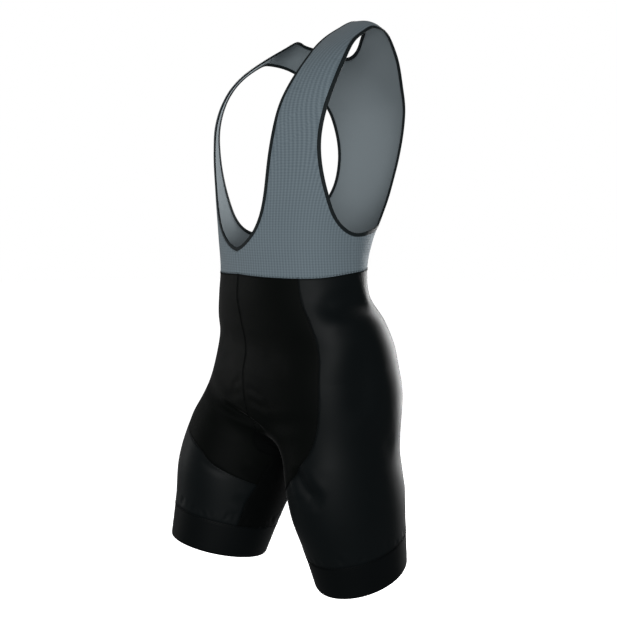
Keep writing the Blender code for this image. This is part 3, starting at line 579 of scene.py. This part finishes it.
# Gripper bands. A wide band of soft black elastic is sewn round each hem with a flat seam, flush with the
# leg. Its stretch holds the hem in place, and its lower edge has no trim.

gripper_knit = stretch_knit(
    "gripper_knit", colour=(0.0012, 0.0022, 0.0026), light_colour=(0.0020, 0.0032, 0.0036),
    roughness=0.54, sheen=0.050, specular=0.09,
)
for side in ("left", "right"):
    shorts_piece("gripper_" + side, gripper_knit)

# Bib. One piece of blue-grey waffle knit makes the low front, the straps and the back. Its ribs run up the
# body and over the shoulders. It is a thin shell on the trunk's sections, its edges tucked into the bindings.

RIBS = 83
RIB = 0.0058
ROW = 0.0039
EDGE_TUCK = 0.0022
BIB_WALL = 0.0011
BIB_SHEET = 0.996
BIB_ROUNDS = 2
WAIST_TALL = 0.02
BIB_MIDDLE = np.array([0.0, -0.03, -0.2])
STRAP_START, STRAP_BLEND = 0.10, 0.15
FRONT_RUN, BACK_RUN = np.radians(40.0), np.radians(145.0)
RUN_END = 0.5
STRAP_SPREAD = 1.05
FINE_ALONG = np.linspace(SECTIONS[0, 0], SECTIONS[-1, 0], 4001)
FINE_HEIGHT = smooth_rows(SECTIONS[:, :2], FINE_ALONG)[0]


def signed_power(x, power):
    return np.sign(x) * np.abs(x) ** power


def trunk(angle, along):
    """Points of the trunk at an angle from the centre front and a distance along it."""
    height, half, front, back, middle = smooth_rows(SECTIONS, along)
    ahead = np.cos(angle)
    deep = np.where(ahead > 0, middle - front, back - middle)
    x = half * signed_power(np.sin(angle), 2 / ROUND)
    return np.stack([x, middle - signed_power(ahead, 2 / ROUND) * deep, height], -1)


def trunk_place(points):
    """Angle, distance along and share of the full radius of points on the trunk."""
    along = np.interp(points[:, 2], FINE_HEIGHT, FINE_ALONG)
    _, half, front, back, middle = smooth_rows(SECTIONS, along)
    ahead = middle - points[:, 1]
    deep = np.where(ahead > 0, middle - front, back - middle)
    sine = signed_power(points[:, 0] / half, ROUND / 2)
    cosine = signed_power(ahead / deep, ROUND / 2)
    return np.arctan2(sine, cosine), along, np.hypot(sine, cosine)


def onto_trunk(points):
    angle, along, _ = trunk_place(points)
    return trunk(angle, along)


def rib_chart(points):
    """Where the knit's ribs and rows lie: metres across the ribs, and metres along them."""
    angle, along, _ = trunk_place(points)
    angle = np.abs(angle)
    round_it = np.minimum(angle, np.pi - angle) * RIBS * RIB / np.pi
    over = np.clip((along - STRAP_START) / STRAP_BLEND, 0, 1)
    over = over * over * (3 - 2 * over)
    keys = np.linspace(0.0, RUN_END, 121)
    up_front, up_back = trunk(FRONT_RUN + 0 * keys, keys), trunk(BACK_RUN + 0 * keys, keys)
    line = np.concatenate([up_front, up_back[::-1]])[:, 1:]
    run = np.concatenate([[0], np.cumsum(np.linalg.norm(np.diff(line, axis=0), axis=1))])
    gaps = np.linalg.norm(points[:, None, 1:] - line[None], axis=2)
    path = run[gaps.argmin(1)]
    path = run[-1] / 2 - np.abs(path - run[-1] / 2)
    across = round_it * (1 - over) + STRAP_SPREAD * np.abs(points[:, 0]) * over
    return np.stack([across, along * (1 - over) + path * over], -1)


def waffle_knit(name):
    """Blue-grey waffle knit: raised ribs and rows, with painted shade darkening the hollows between them."""
    material, tree, shader = new_material(name, (0.135, 0.172, 0.192), 0.78)
    shader.inputs["Sheen Weight"].default_value = 0.08
    shader.inputs["Specular IOR Level"].default_value = 0.25
    nodes, links = tree.nodes, tree.links

    def math(kind, *values):
        node = nodes.new("ShaderNodeMath")
        node.operation = kind
        for socket, value in zip(node.inputs, values):
            if isinstance(value, (int, float)):
                socket.default_value = value
            else:
                links.new(value, socket)
        return node.outputs[0]

    chart = nodes.new("ShaderNodeUVMap")
    chart.uv_map = "cloth"
    split = nodes.new("ShaderNodeSeparateXYZ")
    links.new(chart.outputs["UV"], split.inputs["Vector"])
    rib = math("COSINE", math("MULTIPLY", split.outputs["X"], 2 * np.pi / RIB))
    row = math("COSINE", math("MULTIPLY", split.outputs["Y"], 2 * np.pi / ROW))
    rib = math("MULTIPLY_ADD", rib, 0.5, 0.5)
    row = math("MULTIPLY_ADD", row, 0.5, 0.5)
    relief_and_painted_shade = math("ADD", math("MULTIPLY", rib, 0.62), math("MULTIPLY", row, 0.38))
    place = nodes.new("ShaderNodeTexCoord")
    cloudy = nodes.new("ShaderNodeTexNoise")
    cloudy.inputs["Scale"].default_value = 22.0
    links.new(place.outputs["Object"], cloudy.inputs["Vector"])
    yarn = nodes.new("ShaderNodeTexNoise")
    yarn.inputs["Scale"].default_value = 1400.0
    links.new(place.outputs["Object"], yarn.inputs["Vector"])
    # The ribs and rows set the colour as well as the bumps: the hollows take the darker ramp colour, which is
    # painted shade.
    tint = nodes.new("ShaderNodeValToRGB")
    tint.color_ramp.elements[0].color = (0.112, 0.150, 0.175, 1.0)
    tint.color_ramp.elements[1].color = (0.182, 0.230, 0.260, 1.0)
    shade = math("MULTIPLY_ADD", cloudy.outputs["Fac"], 0.16, -0.08)
    links.new(math("ADD", relief_and_painted_shade, shade), tint.inputs["Fac"])
    links.new(tint.outputs["Color"], shader.inputs["Base Color"])
    bump = nodes.new("ShaderNodeBump")
    bump.inputs["Strength"].default_value = 0.6
    bump.inputs["Distance"].default_value = 0.0006
    links.new(math("ADD", relief_and_painted_shade, math("MULTIPLY", yarn.outputs["Fac"], 0.25)), bump.inputs["Height"])
    links.new(bump.outputs["Normal"], shader.inputs["Normal"])
    return material


def lightened_smooth_back(name):
    """The inner face of the waffle knit, which is flat and even, painted lighter than the outer face to make
    up for the shade it lies in.
    """
    material, tree, shader = new_material(name, (0.130, 0.154, 0.166), 0.85)
    shader.inputs["Specular IOR Level"].default_value = 0.2
    place = tree.nodes.new("ShaderNodeTexCoord")
    yarn = tree.nodes.new("ShaderNodeTexNoise")
    yarn.inputs["Scale"].default_value = 1100.0
    # These colours are lighter than the knit's outer face: painted light that offsets the shade on the inner
    # face.
    tint = tree.nodes.new("ShaderNodeValToRGB")
    tint.color_ramp.elements[0].color = (0.205, 0.242, 0.262, 1.0)
    tint.color_ramp.elements[1].color = (0.245, 0.284, 0.304, 1.0)
    tree.links.new(place.outputs["Object"], yarn.inputs["Vector"])
    tree.links.new(yarn.outputs["Fac"], tint.inputs["Fac"])
    tree.links.new(tint.outputs["Color"], shader.inputs["Base Color"])
    return material


bib_points, bib_faces = node_mesh("bib")
bib_radius = trunk_place(bib_points)[2]
bib_points, bib_faces = sheet_of(bib_points, bib_faces, bib_radius > BIB_SHEET)
bib_points, bib_faces = refined(bib_points, bib_faces, BIB_ROUNDS, onto_trunk)
bib_normals = sheet_normals(bib_points, bib_faces)
if (bib_normals * (bib_points - BIB_MIDDLE)).sum() < 0:
    bib_faces = bib_faces[:, ::-1]
    bib_normals = -bib_normals
SHEETS["bib"] = bib_points.copy(), bib_faces, bib_normals
bib_chart = rib_chart(bib_points)
BOUND_EDGES = []
for loop in rim_loops(bib_faces):
    here = bib_points[loop]
    outward = rim_ways(bib_points, bib_normals, loop)
    bound = np.ptp(here[:, 2]) > WAIST_TALL
    if bound:
        BOUND_EDGES.append((here, bib_normals[loop], outward))
    bib_points[loop] = here + outward * (EDGE_TUCK if bound else SEAM_REACH)
waffle, lightened_back = waffle_knit("waffle_knit"), lightened_smooth_back("lightened_smooth_back")
bib_cloth = shell("cloth_bib", bib_points, bib_faces, bib_normals, BIB_WALL, waffle, bib_chart, lightened_back)
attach(bib_cloth, "root")
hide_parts("bib")

# Bindings. A folded strip of black elastic is sewn over the raw edge of the neckline and of each armhole.
# Each takes its shape from its solid, rounded off, and stands a little proud of the knit on both faces.


def elastic(name):
    material, tree, shader = new_material(name, (0.0100, 0.0130, 0.0145), 0.70)
    shader.inputs["Specular IOR Level"].default_value = 0.12
    nodes, links = tree.nodes, tree.links
    place = nodes.new("ShaderNodeTexCoord")
    grain = nodes.new("ShaderNodeTexNoise")
    grain.inputs["Scale"].default_value = 750.0
    links.new(place.outputs["Object"], grain.inputs["Vector"])
    tint = nodes.new("ShaderNodeValToRGB")
    tint.color_ramp.elements[0].color = (0.0080, 0.0120, 0.0135, 1.0)
    tint.color_ramp.elements[1].color = (0.0130, 0.0185, 0.0200, 1.0)
    links.new(grain.outputs["Fac"], tint.inputs["Fac"])
    links.new(tint.outputs["Color"], shader.inputs["Base Color"])
    bump = nodes.new("ShaderNodeBump")
    bump.inputs["Strength"].default_value = 0.5
    bump.inputs["Distance"].default_value = 0.0002
    links.new(grain.outputs["Fac"], bump.inputs["Height"])
    links.new(bump.outputs["Normal"], shader.inputs["Normal"])
    return material


binding_elastic = elastic("binding_elastic")
for node in ("neck_binding", "armhole_binding_left", "armhole_binding_right"):
    points, faces = node_mesh(node)
    mesh = bpy.data.meshes.new("cloth_" + node)
    mesh.from_pydata(points.tolist(), [], faces.tolist())
    work = bmesh.new()
    work.from_mesh(mesh)
    bmesh.ops.join_triangles(work, faces=work.faces, angle_face_threshold=3.0, angle_shape_threshold=3.0)
    work.to_mesh(mesh)
    work.free()
    mesh.materials.append(binding_elastic)
    mesh.shade_smooth()
    piece = bpy.data.objects.new("cloth_" + node, mesh)
    bpy.context.scene.collection.objects.link(piece)
    round_off = piece.modifiers.new("round_off", "SUBSURF")
    round_off.levels = round_off.render_levels = 2
    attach(piece, "root")
    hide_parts(node)

# Stitches. Black thread: flat seams with two needle rows and a looper thread zigzagging between them, and one
# row of cover stitches on each face of the bindings. Points set along the seams carry one short thread each.

SEAM_ROWS = [
    # shift across the seam, turn from the way along it in degrees, thread length
    (-0.0021, 0.0, 0.0020),
    (0.0021, 0.0, 0.0020),
    (0.0000, 58.0, 0.0048),
]
SEAM_SPACING = 0.0026
BINDING_ROWS = [
    # shift into the binding, lift off the knit's outer face
    (0.0010, 0.00075),
    (0.0010, -0.00215),
]
BINDING_STITCH = 0.0020
THREAD = 0.00022
LAID_THREAD, CROSSING_THREAD = 0.8, 1.4
SEAM_GAP = 0.0010
CORNER = 0.85


def seam_lines(nodes):
    """Lines down the middle of the seams between these sheets, each with the way out of the cloth."""
    rims = []
    for node in nodes:
        points, faces, normals = SHEETS[node]
        rims.append([(points[loop], normals[loop]) for loop in rim_loops(faces)])
    lines = []
    for order, loops in enumerate(rims[:-1]):
        others = []
        for later in rims[order + 1:]:
            for points, _ in later:
                steps = np.roll(points, -1, axis=0) - points
                others += [points + steps * share for share in (0, 0.25, 0.5, 0.75)]
        others = np.concatenate(others)
        tree = KDTree(len(others))
        for k, point in enumerate(others):
            tree.insert(point, k)
        tree.balance()
        for points, normals in loops:
            found = [tree.find(point) for point in points]
            sewn = np.array([gap < SEAM_GAP for _, _, gap in found])
            middle = (points + np.array([there for there, _, _ in found])) / 2
            ways = unit(np.roll(points, -1, axis=0) - points)
            turned = (ways * np.roll(ways, 1, axis=0)).sum(1) < CORNER
            start = int(np.flatnonzero(~sewn | turned)[0]) if (~sewn | turned).any() else 0
            line = []
            for k in np.roll(np.arange(len(points)), -start).tolist() + [start]:
                if sewn[k]:
                    line.append(k)
                if (turned[k] or not sewn[k]) and len(line) > 1:
                    lines.append((middle[line], normals[line]))
                    line = [k] if sewn[k] else []
            if len(line) > 1:
                lines.append((middle[line], normals[line]))
    return [line for line in lines if len(line[0]) > 4]


def stitch_tree():
    """Points set at even steps along lines of edges, each carrying one thread laid on the cloth."""
    tree = bpy.data.node_groups.new("stitches", "GeometryNodeTree")
    sockets = {"Geometry": "Geometry", "Spacing": "Float", "Thread": "Float", "Material": "Material"}
    for name, kind in sockets.items():
        tree.interface.new_socket(name, in_out="INPUT", socket_type="NodeSocket" + kind)
    tree.interface.new_socket("Geometry", in_out="OUTPUT", socket_type="NodeSocketGeometry")
    nodes, links = tree.nodes, tree.links
    given, made = nodes.new("NodeGroupInput"), nodes.new("NodeGroupOutput")
    curve = nodes.new("GeometryNodeMeshToCurve")
    steps = nodes.new("GeometryNodeResampleCurve")
    steps.mode = "LENGTH"
    out = nodes.new("GeometryNodeInputNamedAttribute")
    out.data_type = "FLOAT_VECTOR"
    out.inputs["Name"].default_value = "out"
    turn = nodes.new("GeometryNodeInputNamedAttribute")
    turn.inputs["Name"].default_value = "turn"
    reach = nodes.new("GeometryNodeInputNamedAttribute")
    reach.inputs["Name"].default_value = "reach"
    number = nodes.new("GeometryNodeInputIndex")
    odd = nodes.new("ShaderNodeMath")
    odd.operation = "PINGPONG"
    odd.inputs[1].default_value = 1.0
    swing = nodes.new("ShaderNodeMath")
    swing.operation = "MULTIPLY_ADD"
    swing.inputs[1].default_value = 2.0
    swing.inputs[2].default_value = -1.0
    angle = nodes.new("ShaderNodeMath")
    angle.operation = "MULTIPLY"
    tangent = nodes.new("GeometryNodeInputTangent")
    swung = nodes.new("ShaderNodeVectorRotate")
    upright = nodes.new("FunctionNodeAlignRotationToVector")
    upright.axis = "Z"
    laid = nodes.new("FunctionNodeAlignRotationToVector")
    laid.axis = "X"
    laid.pivot_axis = "Z"
    size = nodes.new("ShaderNodeCombineXYZ")
    ball = nodes.new("GeometryNodeMeshUVSphere")
    ball.inputs["Segments"].default_value = 6
    ball.inputs["Rings"].default_value = 4
    ball.inputs["Radius"].default_value = 1.0
    half = nodes.new("ShaderNodeMath")
    half.operation = "MULTIPLY"
    half.inputs[1].default_value = 0.5
    place = nodes.new("GeometryNodeInstanceOnPoints")
    real = nodes.new("GeometryNodeRealizeInstances")
    paint = nodes.new("GeometryNodeSetMaterial")
    for start, socket, end, into in (
        (given, "Geometry", curve, "Mesh"), (curve, "Curve", steps, "Curve"),
        (given, "Spacing", steps, "Length"), (steps, "Curve", place, "Points"),
        (ball, "Mesh", place, "Instance"), (number, "Index", odd, 0),
        (odd, "Value", swing, 0), (swing, "Value", angle, 0), (turn, "Attribute", angle, 1),
        (tangent, "Tangent", swung, "Vector"), (out, "Attribute", swung, "Axis"),
        (angle, "Value", swung, "Angle"),
        (out, "Attribute", upright, "Vector"), (upright, "Rotation", laid, "Rotation"),
        (swung, "Vector", laid, "Vector"), (laid, "Rotation", place, "Rotation"),
        (reach, "Attribute", half, 0), (half, "Value", size, "X"),
        (given, "Thread", size, "Y"), (given, "Thread", size, "Z"),
        (size, "Vector", place, "Scale"), (place, "Instances", real, "Geometry"),
        (real, "Geometry", paint, "Geometry"), (given, "Material", paint, "Material"),
        (paint, "Geometry", made, "Geometry"),
    ):
        links.new(start.outputs[socket], end.inputs[into])
    return tree


def stitched(name, rows, tree, thread):
    """One mesh of all the threads along these rows: points, way out, turn and thread length."""
    points = np.concatenate([row[0] for row in rows])
    outs = np.concatenate([row[1] for row in rows])
    edges, first = [], 0
    for line, *_ in rows:
        edges += [(first + k, first + k + 1) for k in range(len(line) - 1)]
        first += len(line)
    mesh = bpy.data.meshes.new(name + "_lines")
    mesh.from_pydata(points.tolist(), edges, [])
    mesh.attributes.new("out", "FLOAT_VECTOR", "POINT").data.foreach_set("vector", outs.ravel())
    for label, column in (("turn", 2), ("reach", 3)):
        values = np.concatenate([np.full(len(row[0]), row[column]) for row in rows])
        mesh.attributes.new(label, "FLOAT", "POINT").data.foreach_set("value", values)
    lines = bpy.data.objects.new(name + "_lines", mesh)
    bpy.context.scene.collection.objects.link(lines)
    maker = lines.modifiers.new("stitches", "NODES")
    maker.node_group = tree
    settings = {"Spacing": SEAM_SPACING, "Thread": THREAD, "Material": thread}
    for socket in tree.interface.items_tree:
        if socket.in_out == "INPUT" and socket.name in settings:
            maker[socket.identifier] = settings[socket.name]
    ready = lines.evaluated_get(bpy.context.evaluated_depsgraph_get())
    made = bpy.data.meshes.new_from_object(ready)
    bpy.data.objects.remove(lines)
    made.shade_smooth()
    piece = bpy.data.objects.new(name, made)
    bpy.context.scene.collection.objects.link(piece)
    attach(piece, "root")
    return piece


thread_black, _, thread_shader = new_material("thread_black", (0.0016, 0.0022, 0.0024), 0.65)
thread_shader.inputs["Specular IOR Level"].default_value = 0.06
stitches = stitch_tree()
seam_rows = {"left": [], "right": []}
for line, outs in seam_lines(list(SHEETS)):
    word = "left" if line[:, 0].mean() > 0 else "right"
    across = np.cross(outs, unit(np.gradient(line, axis=0)))
    for shift, turn, reach in SEAM_ROWS:
        lift = THREAD * (CROSSING_THREAD if turn else LAID_THREAD)
        seam_rows[word].append((line + across * shift + outs * lift, outs, np.radians(turn), reach))
edge_rows = []
for here, outs, outward in BOUND_EDGES:
    ring = np.append(np.arange(len(here)), 0)
    for shift, lift in BINDING_ROWS:
        edge_rows.append(((here + outward * shift + outs * lift)[ring], outs[ring], 0.0, BINDING_STITCH))
STITCHES = {"edges": stitched("stitches_bindings", edge_rows, stitches, thread_black)}
for word, rows in seam_rows.items():
    STITCHES[word] = stitched("stitches_" + word, rows, stitches, thread_black)
